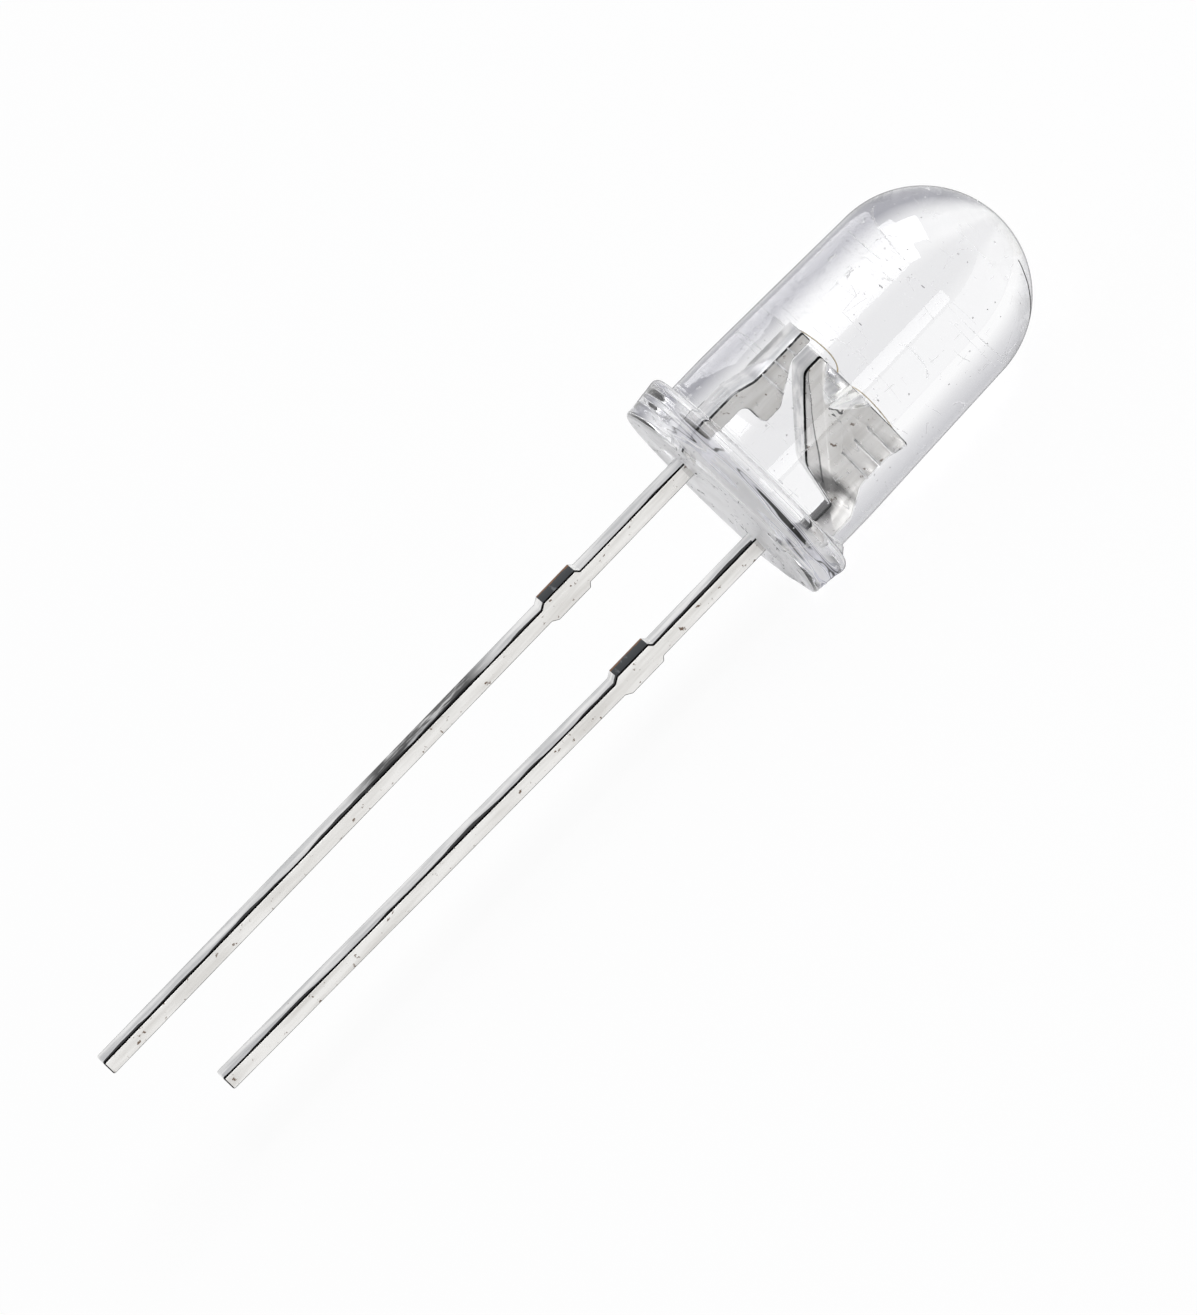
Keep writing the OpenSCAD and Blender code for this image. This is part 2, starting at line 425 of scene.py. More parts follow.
@dataclass(frozen=True)
class ClearEpoxy:
    """Cast clear epoxy: polished, with fine scratches and white dust; painted shade darkens its edge
    into a grey outline and rings its dust, and painted light lies on its flow lines and underside.
    """

    tint: Colour = (0.99, 0.99, 0.995)
    # rim and outline are painted shade: the glass darkens towards its edge, and a grey outline is
    # laid along it.
    rim: Colour = (0.35, 0.35, 0.36)
    shade: Colour = (0.9, 0.9, 0.93)
    outline: Colour = (0.20, 0.20, 0.21)
    ior: float = 1.54
    flow_deep: float = 0.004 * MM
    ripple_deep: float = 0.0003 * MM
    scratch_deep: float = 0.0011 * MM
    scratch_w: float = 0.003
    scratch_share: float = 0.5
    squiggle_w: float = 0.012
    foot_top: float = 0.5
    # share of the painted white under the flange
    painted_foot_white: float = 0.75
    dust_cells: float = 3.4
    dust_size: float = 0.075
    # a grey ring of painted shadow round each speck of dust
    painted_dust_shadow: Colour = grey(0.42)
    dust_white: Colour = grey(0.97)
    nick_dark: Colour = grey(0.03)
    nick_from: Triple = (8.283, -1.367, -0.355)
    nick_to: Triple = (7.584, -1.223, -1.642)
    nick_w: Pair = (0.022, 0.048)
    nick_deep: float = 0.2
    dome_at: Triple = (6.37, 0.0, 0.0)

    def make(self) -> bpy.types.Material:
        """Builds the finish.

        Returns:
            The material, which lets the lamps through to what the lens holds.
        """
        sheet = NodeSheet.named("clear_epoxy")
        scratch = self.scratches(sheet)
        flow = sheet.bump(sheet.noise(0.9, 1.0, (0.35, 1.0, 1.0)), self.flow_deep)
        ripple = sheet.bump(sheet.noise(14.0, 2.0), self.ripple_deep, flow)
        # Painted shade: where the surface turns away from the view, the glass's colour darkens
        # towards the rim colour.
        edge = sheet.feed(sheet.add("ShaderNodeLayerWeight"), Blend=0.5).outputs["Facing"]
        turned = sheet.times(edge, sheet.levels(sheet.axes()[0], (0.30, 0.0), (0.42, 1.0)))
        cast = sheet.ramp(turned, (0.55, self.tint), (0.78, toned(self.tint, 0.85)), (0.88, self.rim))
        body = sheet.surface(Base_Color=cast, Roughness=0.0, IOR=self.ior, Transmission_Weight=1.0,
                             Normal=sheet.bump(scratch, self.scratch_deep, ripple))
        # Where the painted grey outline lies, at the very edge.
        rim = sheet.levels(turned, (0.84, 0.0), (0.93, 0.75))
        specks = sheet.math("MAXIMUM", self.dust(sheet, 0.75 * self.dust_size),
                            sheet.times(scratch, self.scratch_share))
        # Coats, in order: the painted grey outline, a painted shadow ring round each speck of dust,
        # the white dust and scratches, and the dark nick.
        coats = ((rim, self.outline), (self.dust(sheet, self.dust_size), self.painted_dust_shadow),
                 (specks, self.dust_white), (self.nick(sheet), self.nick_dark))
        coated = self.painted_foot_light(sheet, self.painted_flow_light(sheet, body))
        for share, colour in coats:
            coated = sheet.blended(share, coated, sheet.dull(colour))
        clear = sheet.add("ShaderNodeBsdfTransparent", self.shade).outputs[0]
        return sheet.finish(sheet.blended(sheet.ray("Shadow"), coated, clear))

    def scratches(self, sheet: NodeSheet) -> Socket:
        """Draws fine hair scratches in scattered patches, some along and some across the lens.

        Args:
            sheet: the material's nodes.

        Returns:
            Their height, 0 or 1.
        """
        marks = []
        for stretch, threshold in (((0.12, 1.0, 1.0), 0.57), ((1.0, 0.15, 0.15), 0.55)):
            line = sheet.hairline(sheet.noise(1.9, 1.0, stretch), self.scratch_w)
            marks.append(sheet.times(line, sheet.above(sheet.noise(2.4, 2.0), threshold)))
        return sheet.math("MAXIMUM", *marks)

    def painted_flow_light(self, sheet: NodeSheet, under: Socket) -> Socket:
        """Lays painted highlights and shade of the resin's flow lines over the lower front of the
        flange.

        Args:
            sheet: the material's nodes.
            under: the shader below.

        Returns:
            The mixed shader.
        """
        x, y, _ = sheet.axes()
        rise = sheet.levels(x, (0.22, 0.0), (0.34, 1.0), (0.74, 1.0), (0.94, 0.0))
        front = sheet.levels(sheet.times(y, -0.4), (0.1, 0.0), (0.6, 1.0))
        lines = sheet.noise(1.0, 1.2, (5.0, 0.42, 0.42), 0.4)
        # A matt coat of painted light: white highlight streaks, with lilac and near-black shade along
        # the flow lines.
        painted_flow_share = sheet.levels(
            lines, (0.34, 0.95), (0.37, 0.65), (0.424, 0.65), (0.43, 0.9), (0.444, 0.9), (0.45, 0.65),
            (0.48, 0.65), (0.487, 1.0), (0.513, 1.0), (0.52, 0.65), (0.56, 0.7), (0.57, 1.0))
        tone = sheet.ramp(
            lines, (0.335, grey(0.04)), (0.36, (0.80, 0.80, 0.87)), (0.424, (0.86, 0.86, 0.93)),
            (0.43, grey(0.12)), (0.444, grey(0.12)), (0.45, (0.88, 0.88, 0.95)),
            (0.48, (0.90, 0.90, 0.97)), (0.487, grey(1.0)), (0.513, grey(1.0)),
            (0.52, (0.86, 0.86, 0.93)), (0.56, (0.92, 0.92, 0.98)), (0.57, grey(1.0)))
        return sheet.blended(sheet.times(rise, front, painted_flow_share), under, sheet.dull(tone))

    def painted_foot_light(self, sheet: NodeSheet, under: Socket) -> Socket:
        """Paints the dish and the ring under the flange white, standing in for the paper's light seen
        there, with a few grey squiggles on them.

        Args:
            sheet: the material's nodes.
            under: the shader below.

        Returns:
            The mixed shader.
        """
        tilt = sheet.axes(sheet.add("ShaderNodeTexCoord").outputs["Normal"])[0]
        level = sheet.above(sheet.math("ABSOLUTE", tilt), 0.75)
        foot = sheet.times(level, sheet.below(sheet.axes()[0], self.foot_top))
        squiggle = sheet.hairline(sheet.noise(2.4, 2.0), self.squiggle_w)
        patch = sheet.above(sheet.noise(3.1, 2.0), 0.57)
        # Painted light: a matt white coat where the paper's light would show through.
        white = sheet.blended(sheet.times(foot, self.painted_foot_white), under, sheet.dull(grey(1.0)))
        return sheet.blended(sheet.times(squiggle, patch, foot), white, sheet.dull(grey(0.22)))

    def dust(self, sheet: NodeSheet, size: float) -> Socket:
        """Scatters the specks of dust that stick to the surface.

        Args:
            sheet: the material's nodes.
            size: radius of the largest speck, as a share of the cells' size.

        Returns:
            1 on the specks, and 0 elsewhere.
        """
        cells = sheet.add("ShaderNodeTexVoronoi")
        sheet.feed(cells, Vector=sheet.place(), Scale=self.dust_cells)
        return sheet.below(cells.outputs["Distance"], size)

    def nick(self, sheet: NodeSheet) -> Socket:
        """Draws the one dark nick near the top of the dome, wider towards its end.

        Args:
            sheet: the material's nodes.

        Returns:
            1 on the nick, and 0 elsewhere.
        """
        start, end = Vector(self.nick_from), Vector(self.nick_to)
        middle = (start + end) / 2.0
        half = (end - start).length / 2.0
        along = (end - start).normalized()
        out = (middle - Vector(self.dome_at)).normalized()
        out = (out - along * out.dot(along)).normalized()
        turn = Matrix((along, out, along.cross(out))).transposed().to_euler()
        x, y, z = sheet.axes(sheet.seen_from(middle, turn))
        narrow, wide = self.nick_w
        width = sheet.math("MULTIPLY_ADD", x, (wide - narrow) / (2.0 * half), (wide + narrow) / 2.0)
        off = sheet.math("ADD", z, sheet.wobble(sheet.noise(4.0, 2.0), 0.06))
        return sheet.times(sheet.within(off, width), sheet.within(x, half),
                           sheet.within(y, self.nick_deep))


@dataclass(frozen=True)
class TinnedSheet:
    """Tinned steel sheet: pale satin metal with faint streaks along it and a few dark pits."""

    name: str
    pale: Colour
    dull: Colour
    pit: Colour = (0.17, 0.12, 0.09)
    # one near-black colour for every darker layer: oxide and painted shade
    oxide_and_painted_shade: Colour = (0.012, 0.012, 0.013)
    pitted: float = 0.74
    rough: float = 0.30
    wave: float = 0.010 * MM
    grain: float = 0.0010 * MM

    def make(self) -> bpy.types.Material:
        """Builds the finish.

        Returns:
            The material.
        """
        sheet = NodeSheet.named(self.name)
        streak = sheet.noise(6.0, 3.0, (0.10, 1.0, 1.0))
        spots = sheet.noise(7.0, 3.0, (0.8, 1.0, 1.0), 0.62)
        pits = sheet.levels(spots, (self.pitted, 0.0), (self.pitted + 0.05, 1.0))
        tone = sheet.mixed(pits, sheet.ramp(streak, (0.34, self.dull), (0.62, self.pale)), self.pit)
        # Each darker layer is laid on in that one colour; most of them are painted shade.
        for share in self.stains_and_shade(sheet):
            tone = sheet.mixed(share, tone, self.oxide_and_painted_shade)
        rough = sheet.wobble(sheet.noise(7.0, 3.0), 0.16, self.rough)
        grain = sheet.bump(sheet.noise(26.0, 3.0, (0.2, 1.0, 1.0)), self.grain, self.relief(sheet))
        return sheet.finish(
            sheet.surface(Base_Color=tone, Metallic=1.0, Roughness=rough, Normal=grain))

    def relief(self, sheet: NodeSheet) -> Socket:
        """Returns the slow waves of the sheet, as a bent normal."""
        return sheet.bump(sheet.noise(1.4, 2.0, (0.35, 1.0, 1.0)), self.wave)

    def stains_and_shade(self, sheet: NodeSheet) -> list[Socket]:
        """Returns the share of each darker layer, oxide and painted shade: none on plain sheet."""
        return []


@dataclass(frozen=True)
class ShearedSide(TinnedSheet):
    """The sheared side of a lead: a painted dark reflection in a band along its front edge, and a
    dull patch outside.
    """

    rough: float = 0.34
    # reach of the painted dark band
    band: float = 0.18
    patch_at: Pair = (-10.2, -5.6)

    def stains_and_shade(self, sheet: NodeSheet) -> list[Socket]:
        """Returns the shares of the patch and the band."""
        return [self.patched(sheet), self.painted_dark_band(sheet)]

    def painted_dark_band(self, sheet: NodeSheet) -> Socket:
        """Paints a dark reflection along the front edge of the side, in a band of uneven width.

        Args:
            sheet: the material's nodes.

        Returns:
            The share of painted dark reflection.
        """
        x, y, _ = sheet.axes()
        reach = sheet.levels(sheet.noise(1.1, 3.0, (0.25, 0.2, 0.2), 0.6),
                             (0.40, 0.2), (0.52, 0.55), (0.66, 1.0))
        ragged = sheet.wobble(sheet.noise(5.0, 3.0, (0.25, 1.0, 1.0)), 0.10)
        edge = sheet.math("ADD", sheet.times(reach, self.band), ragged)
        near = sheet.below(sheet.math("ADD", y, HALF_SHEET / MM), edge)
        return sheet.times(near, sheet.below(x, 0.0), 0.95)

    def patched(self, sheet: NodeSheet) -> Socket:
        """Dulls one stretch of the anode's outer side.

        Args:
            sheet: the material's nodes.

        Returns:
            How much it darkens.
        """
        x, _, z = sheet.axes()
        start, end = self.patch_at
        along = sheet.math("DIVIDE", sheet.math("SUBTRACT", x, start), end - start)
        reach = sheet.levels(along, (0.0, 0.0), (0.2, 1.0), (0.8, 1.0), (1.0, 0.0))
        streaks = sheet.levels(sheet.noise(5.0, 4.0, (0.2, 1.0, 1.0), 0.65), (0.40, 0.2), (0.52, 0.9))
        return sheet.times(reach, streaks, sheet.above(z, 0.0))


@dataclass(frozen=True)
class Smear:
    """A spot of painted shade on the front face where it bends: its middle, turn and reach, and how
    dark it is.
    """

    along: float
    across: float
    turn: float
    reach: Pair
    share: float


@dataclass(frozen=True)
class RolledFace(TinnedSheet):
    """The front and back of a lead: darker inside the lens by painted shade, and marked around the
    cup.

    The anvil carries spots of painted shade where its face bends, a short squiggle, and a strip
    that the die rolled over along its slanted edge, with a thin dark crease where the strip ends.
    """

    # how dark the painted shade inside the lens makes the faces
    inner: float = 0.22
    painted_shade_spots: tuple[Smear, ...] = (
        Smear(2.0, -0.92, math.radians(-25.0), (0.28, 0.52), 0.85),
        Smear(1.6, -1.10, 0.0, (0.5, 0.14), 0.8),
        Smear(1.3, -1.27, 0.0, (0.8, 0.45), 0.3))
    slant: tuple[Pair, Pair] = ((1.93, -0.42), (3.31, 0.69))
    roll_w: float = 0.30
    roll_taper: float = 0.16
    roll_deep: float = 0.05 * MM
    squiggle_at: Pair = (3.2, -0.15)
    squiggle_r: float = 0.13

    def on_front(self, along: float, across: float) -> Triple:
        """Returns the place on the front face at those millimetres along and across it."""
        return (along, -HALF_SHEET / MM, across)

    def stains_and_shade(self, sheet: NodeSheet) -> list[Socket]:
        """Lists the darker layers over the metal: painted shade inside the lens and in spots on the
        anvil, the crease and the squiggle.

        Args:
            sheet: the material's nodes.

        Returns:
            The share of each layer.
        """
        # Painted shade over the faces inside the lens.
        inside = sheet.times(sheet.above(sheet.axes()[0], 0.0), self.inner)
        painted_shade_spots = [self.painted_shade_spot(sheet, smear) for smear in self.painted_shade_spots]
        return [inside, *painted_shade_spots, self.creased(sheet), self.squiggled(sheet)]

    def relief(self, sheet: NodeSheet) -> Socket:
        """Returns the waves of the sheet with the rolled-over strip on them."""
        return sheet.bump(self.rolled(sheet), self.roll_deep, super().relief(sheet))

    def rolled(self, sheet: NodeSheet) -> Socket:
        """Shapes the front face where the die rolled its slanted edge over.

        Args:
            sheet: the material's nodes.

        Returns:
            The height of the strip, from 0 to 1.
        """
        x, _, z = sheet.axes()
        (low_x, low_z), (top_x, top_z) = self.slant
        long = math.hypot(top_x - low_x, top_z - low_z)
        away = sheet.math("SUBTRACT",
                          sheet.times(sheet.math("SUBTRACT", x, top_x), (top_z - low_z) / long),
                          sheet.times(sheet.math("SUBTRACT", z, top_z), (top_x - low_x) / long))
        bent = sheet.math("ADD", away, sheet.wobble(sheet.noise(1.5, 1.0), 0.1))
        wide = sheet.math("MULTIPLY_ADD", x, -self.roll_taper, self.roll_w + self.roll_taper * low_x)
        return sheet.levels(sheet.math("DIVIDE", bent, wide), (0.1, 0.0), (1.0, 1.0))

    def creased(self, sheet: NodeSheet) -> Socket:
        """Draws the thin dark line where the rolled-over strip ends.

        Args:
            sheet: the material's nodes.

        Returns:
            How much it darkens.
        """
        line = sheet.levels(self.rolled(sheet), (0.80, 0.0), (0.86, 0.75), (0.93, 0.75), (0.985, 0.0))
        return sheet.times(line, sheet.above(sheet.axes()[0], self.slant[0][0]))

    def painted_shade_spot(self, sheet: NodeSheet, smear: Smear) -> Socket:
        """Draws a soft spot of painted shade.

        Args:
            sheet: the material's nodes.
            smear: the spot.

        Returns:
            The share of painted shade.
        """
        along, across = smear.reach
        off = sheet.distance(sheet.seen_from(self.on_front(smear.along, smear.across),
                                             (0.0, smear.turn, 0.0), (along, 1.0, across)))
        ragged = sheet.wobble(sheet.noise(5.0, 3.0, (1.0, 1.0, 0.3)), 1.2)
        return sheet.levels(sheet.math("ADD", off, ragged), (0.35, smear.share), (1.0, 0.0))

    def squiggled(self, sheet: NodeSheet) -> Socket:
        """Draws the short dark squiggle in front of the cup.

        Args:
            sheet: the material's nodes.

        Returns:
            How much it darkens, 0 or 1.
        """
        off = sheet.distance(sheet.seen_from(self.on_front(*self.squiggle_at)))
        return sheet.times(sheet.below(off, self.squiggle_r),
                           sheet.hairline(sheet.noise(5.0, 1.0), 0.06))


@dataclass(frozen=True)
class CornerWearAndPaintedShade:
    """A rolled-over corner between a face and a side, in patches of a dark and a pale colour.
    The dark corners are painted dark reflection; the turned corners are mostly pale metal.
    """

    name: str
    dark: Colour
    pale: Colour
    wear_and_shade: float

    def make(self) -> bpy.types.Material:
        """Builds the finish.

        Returns:
            The material.
        """
        sheet = NodeSheet.named(self.name)
        wear_and_shade = sheet.ramp(sheet.noise(2.6, 4.0, (0.5, 1.0, 1.0), 0.7),
                          (self.wear_and_shade, self.dark), (self.wear_and_shade + 0.1, self.pale))
        return sheet.finish(sheet.surface(Base_Color=wear_and_shade, Metallic=1.0, Roughness=0.34))


@dataclass(frozen=True)
class RawCut:
    """Bare steel where the tie bar was cut away: blue-grey, scored, with copper at its burr."""

    steel: Colour = (0.065, 0.07, 0.075)
    score: Colour = (0.22, 0.23, 0.24)
    copper: Colour = (0.27, 0.135, 0.07)
    burr_at: float = 0.15

    def make(self) -> bpy.types.Material:
        """Builds the finish.

        Returns:
            The material.
        """
        sheet = NodeSheet.named("raw_cut")
        lines = sheet.noise(5.0, 3.0, (1.0, 0.3, 0.3))
        base = sheet.ramp(lines, (0.56, self.steel), (0.66, self.score))
        ragged = sheet.wobble(sheet.noise(4.0, 3.0), 0.16)
        burr = sheet.above(sheet.math("ADD", sheet.axes()[1], ragged), self.burr_at)
        return sheet.finish(sheet.surface(
            Base_Color=sheet.mixed(burr, base, self.copper), Metallic=1.0, Roughness=0.5,
            Normal=sheet.bump(lines, 0.006 * MM)))


def lead_skins() -> dict[Skin, bpy.types.Material]:
    """Makes the finish of each kind of face on the leads.

    Returns:
        The material of each kind.
    """
    finishes = {
        Skin.ROLLED: RolledFace("tinned_face", (0.86, 0.85, 0.83), (0.70, 0.685, 0.66), pitted=0.64),
        Skin.SHEARED: ShearedSide("sheared_side", (0.92, 0.915, 0.905), (0.60, 0.605, 0.61)),
        Skin.SHADED: TinnedSheet("shaded_side", grey(0.035), grey(0.005), rough=0.34),
        # Painted dark reflection along the corners and edge lines.
        Skin.CORNER: CornerWearAndPaintedShade("painted_dark_corner", grey(0.008), grey(0.22), 0.66),
        Skin.TURNED: CornerWearAndPaintedShade("turned_corner", grey(0.24), grey(0.92), 0.42),
        Skin.CUT: RawCut(),
        Skin.RIM: CornerWearAndPaintedShade("painted_dark_edge", grey(0.03), grey(0.30), 0.52),
        Skin.CUP: TinnedSheet("silvered_cup", (0.90, 0.90, 0.88), (0.80, 0.80, 0.77),
                              pitted=0.8, rough=0.24, wave=0.003 * MM)}
    return {skin: finish.make() for skin, finish in finishes.items()}


@dataclass(frozen=True)
class BondGold:
    """Gold of the bond wires and pads."""

    colour: Colour = (0.62, 0.52, 0.36)

    def make(self) -> bpy.types.Material:
        """Builds the finish.

        Returns:
            The material.
        """
        sheet = NodeSheet.named("bond_gold")
        return sheet.finish(sheet.surface(
            Base_Color=sheet.mottled(sheet.noise(20.0, 2.0), self.colour, 0.8), Metallic=1.0,
            Roughness=0.22, Normal=sheet.bump(sheet.noise(40.0, 2.0), 0.0006 * MM)))


@dataclass(frozen=True)
class ChipFace:
    """The chip: a polished pale blue-grey crystal with a faint metal sheen."""

    colour: Colour = (0.42, 0.47, 0.56)

    def make(self) -> bpy.types.Material:
        """Builds the finish.

        Returns:
            The material.
        """
        sheet = NodeSheet.named("chip_crystal")
        tone = sheet.mottled(sheet.noise(18.0, 2.0), self.colour, 0.7)
        return sheet.finish(
            sheet.surface(Base_Color=tone, Roughness=0.12, IOR=1.77, Coat_Weight=0.5))


@dataclass(frozen=True)
class CuredAdhesive:
    """The bed of adhesive under the chip: off-white and slightly uneven."""

    colour: Colour = (0.70, 0.68, 0.62)

    def make(self) -> bpy.types.Material:
        """Builds the finish.

        Returns:
            The material.
        """
        sheet = NodeSheet.named("cured_adhesive")
        lumps = sheet.noise(22.0, 3.0)
        return sheet.finish(sheet.surface(
            Base_Color=sheet.mottled(lumps, self.colour, 0.8), Roughness=0.5,
            Normal=sheet.bump(lumps, 0.004 * MM)))


def mesh_object(name: str, builder: bmesh.types.BMesh) -> bpy.types.Object:
    """Makes a smooth-shaded object from a finished builder.

    Args:
        name: the object's name.
        builder: the mesh under construction, which is freed.

    Returns:
        The object, linked to the scene.
    """
    mesh = bpy.data.meshes.new(name)
    builder.to_mesh(mesh)
    builder.free()
    mesh.polygons.foreach_set("use_smooth", [True] * len(mesh.polygons))
    made = bpy.data.objects.new(name, mesh)
    bpy.context.scene.collection.objects.link(made)
    return made


@dataclass
class CastLens:
    """The clear body: flange with its flat, drafted barrel and dome, cast in one piece."""

    barrel_r: float = 2.5 * MM
    land_top: float = 2.1 * MM
    dome_r: float = 2.38 * MM
    flange_t: float = 1.1 * MM
    dish_rim: float = 2.6 * MM
    dish_deep: float = 0.2 * MM
    dish_steps: int = 24
    draft: float = 0.07 * MM
    low_r: float = 0.08 * MM
    top_r: float = 0.15 * MM
    root_r: float = 0.06 * MM
    flat_r: float = 0.012 * MM
    least: float = 0.02 * MM
    eased: float = 0.22 * MM
    eased_at: float = math.radians(-105.0)
    eased_span: float = math.radians(75.0)
    lift: float = 0.22 * MM
    flow: float = 0.12 * MM
    flow_start: Pair = (0.1 * MM, 0.3 * MM)
    flow_end: Pair = (0.65 * MM, 0.85 * MM)
    web: float = 0.16 * MM
    web_r: float = 0.06 * MM
    web_at: float = math.radians(-30.0)
    web_span: float = math.radians(26.0)
    climb: float = 0.08 * MM
    climb_reach: float = 0.15 * MM
    ripple: float = 0.04 * MM
    calm: Pair = (0.78, 0.95)
    around: int = 360
    bubbles: int = 60
    bubble_seed: int = 11
    bubble_r: Pair = (0.005 * MM, 0.011 * MM)
    bubble_out: Pair = (0.5, 0.96)
    bubble_up: Pair = (0.35, 0.78)
    metal_top: float = 0.5
    clear_span: float = 0.8
    height: float = field(init=False)
    flange_r: float = field(init=False)
    flat: float = field(init=False)

    def __post_init__(self) -> None:
        """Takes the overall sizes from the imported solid."""
        low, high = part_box("epoxy_lens")
        self.height = high.x
        self.flange_r = high.y
        self.flat = -low.z

    def rim(self, angle: float) -> float:
        """Finds the flange's radius at an angle, with the flat and its soft corners.

        Args:
            angle: angle about the axis, from the cathode side.

        Returns:
            The radius.
        """
        # Away from the flat, its line is kept well outside the rim, where it cuts nothing.
        chord = self.flat / max(math.cos(angle), 0.05)
        gap = abs(chord - self.flange_r)
        nearer = min(chord, self.flange_r)
        return nearer - max(0.0, self.flat_r - gap) ** 2 / (4.0 * self.flat_r)

    def swell(self, angle: float, middle: float, span: float) -> float:
        """Tells how near an angle is to the middle of a stretch.

        Args:
            angle: angle about the axis.
            middle: where the stretch has its middle.
            span: how far it reaches to each side.

        Returns:
            A share that falls off smoothly from 1.
        """
        off = (angle - middle + math.pi) % math.tau - math.pi
        return math.exp(-(off / span) ** 2)

    def section(self, angle: float) -> list[Pair]:
        """Lays out the lens's outline at one angle, from the underside to the dome's top.

        Args:
            angle: angle about the axis, from the cathode side.

        Returns:
            Height along the axis and radius of each point.
        """
        quarter = math.pi / 2.0
        front = self.swell(angle, self.eased_at, self.eased_span)
        soft = self.swell(angle, self.web_at, self.web_span)
        spare = max(self.rim(angle) - self.barrel_r, self.least)
        rim = self.barrel_r + spare
        foot = rim - min(self.draft, spare)
        low = self.low_r + self.eased * front
        top = min(self.top_r + self.web_r * soft, 0.6 * spare)
        root = min(self.root_r, 0.3 * spare)
        web = self.web * soft * smooth_step(0.0, 0.3 * MM, spare)
        dish = min(self.dish_rim, foot - low - self.least)
        base = self.lift * front
        shares = [i / self.dish_steps for i in range(1, self.dish_steps + 1)]
        points = [(self.dish(share) + base * smooth_step(0.3, 1.0, share), dish * share)
                  for share in shares]
        points += straight((base, dish), (base, foot - low), 3)
        points += arc((base + low, foot - low), low, -quarter, 0.0, 7)
        points += straight((base + low, foot), (self.flange_t - top, rim), 16)
        points += arc((self.flange_t - top, rim - top), top, 0.0, quarter, 7)
        shelf = self.flange_t + web
        points += straight((self.flange_t, rim - top), (shelf, self.barrel_r + root), 3)
        points += arc((shelf + root, self.barrel_r + root), root, -quarter, -math.pi, 5)
        return points + self.upper()

    def upper(self) -> list[Pair]:
        """Lays out the outline above the flange: straight band, cone and dome.

        Returns:
            Height along the axis and radius of each point.
        """
        centre = self.height - self.dome_r
        rise = centre - self.land_top
        tangent = math.acos(self.dome_r / math.hypot(self.barrel_r, rise))
        tangent -= math.atan2(rise, self.barrel_r)
        start = (self.flange_t + self.root_r + self.web, self.barrel_r)
        land = (self.land_top, self.barrel_r)
        end = (centre + self.dome_r * math.sin(tangent), self.dome_r * math.cos(tangent))
        dome = arc((centre, 0.0), self.dome_r, tangent, math.pi / 2.0, 40)
        return straight(start, land, 4) + straight(land, end, 12) + dome[:-1]

    def dish(self, share: float) -> float:
        """Returns the depth of the dish at a share of its radius: a shallow spherical cap."""
        ball = (self.dish_rim ** 2 + self.dish_deep ** 2) / (2.0 * self.dish_deep)
        return self.dish_deep - ball + math.sqrt(ball ** 2 - (share * self.dish_rim) ** 2)

    def settle(self, at: Vector, leads: list[Vector]) -> Vector:
        """Moves a point of the underside as the wet resin did: up the leads, and in ripples.

        Args:
            at: the point on the dish.
            leads: the centre of each lead where it leaves the lens.

        Returns:
            The moved point.
        """
        rise = 0.0
        for lead in leads:
            away = max(abs(at.y - lead.y) - HALF_SHEET, abs(at.z - lead.z) - HALF_LEAD, 0.0)
            rise += self.climb * math.exp(-away / self.climb_reach)
        inner = 1.0 - smooth_step(*self.calm, math.hypot(at.y, at.z) / self.flange_r)
        place = Vector((at.y, at.z, 0.0)) / MM
        wave = noise.noise(place * 1.1) + 0.35 * noise.noise(place * 3.1)
        return Vector((at.x + (wave * self.ripple - rise) * inner, at.y, at.z))

    def flow_lines(self, at: Vector, angle: float) -> Vector:
        """Moves a point of the flange's side by the flow lines that run around its front.

        Args:
            at: the point.
            angle: its angle about the axis.

        Returns:
            The moved point, further in or less.
        """
        share = self.swell(angle, self.eased_at, self.eased_span)
        share *= smooth_step(*self.flow_start, at.x) * (1.0 - smooth_step(*self.flow_end, at.x))
        place = Vector((2.0 * math.cos(angle), 2.0 * math.sin(angle), 6.0 * at.x / MM))
        deep = 0.5 + 0.5 * noise.noise(place) + 0.25 * noise.noise(place * 2.3)
        outward = Vector((0.0, at.y, at.z)).normalized()
        return at - outward * (self.flow * share * max(0.0, deep))

    def column(self, angle: float, leads: list[Vector]) -> list[Vector]:
        """Lays out the surface at one angle, with the marks that the wet resin left.

        Args:
            angle: angle about the axis, from the cathode side.
            leads: the centre of each lead where it leaves the lens.

        Returns:
            The points from the underside to just short of the dome's tip.
        """
        points = []
        for i, (x, r) in enumerate(self.section(angle)):
            at = Vector((x, r * math.sin(angle), -r * math.cos(angle)))
            if i < self.dish_steps:
                at = self.settle(at, leads)
            elif x < self.flange_t:
                at = self.flow_lines(at, angle)
            points.append(at)
        return points

    def add_bubbles(self, work: bmesh.types.BMesh) -> None:
        """Leaves small air bubbles in the cast, as closed hollows clear of the metal.

        Args:
            work: the mesh under construction.
        """
        draw = random.Random(self.bubble_seed)
        for _ in range(self.bubbles):
            angle = draw.uniform(0.0, math.tau)
            reach = draw.uniform(*self.bubble_out) * self.dome_r
            x = draw.uniform(*self.bubble_up) * self.height
            if x < self.metal_top * self.height:
                aside = math.copysign(math.pi / 2.0, math.sin(angle))
                angle = aside + draw.uniform(-self.clear_span, self.clear_span)
            size = draw.uniform(*self.bubble_r)
            at = Vector((x, reach * math.sin(angle), -reach * math.cos(angle)))
            made = bmesh.ops.create_icosphere(work, subdivisions=2, radius=size,
                                              matrix=Matrix.Translation(at))
            faces = {face for vert in made["verts"] for face in vert.link_faces}
            bmesh.ops.reverse_faces(work, faces=list(faces))

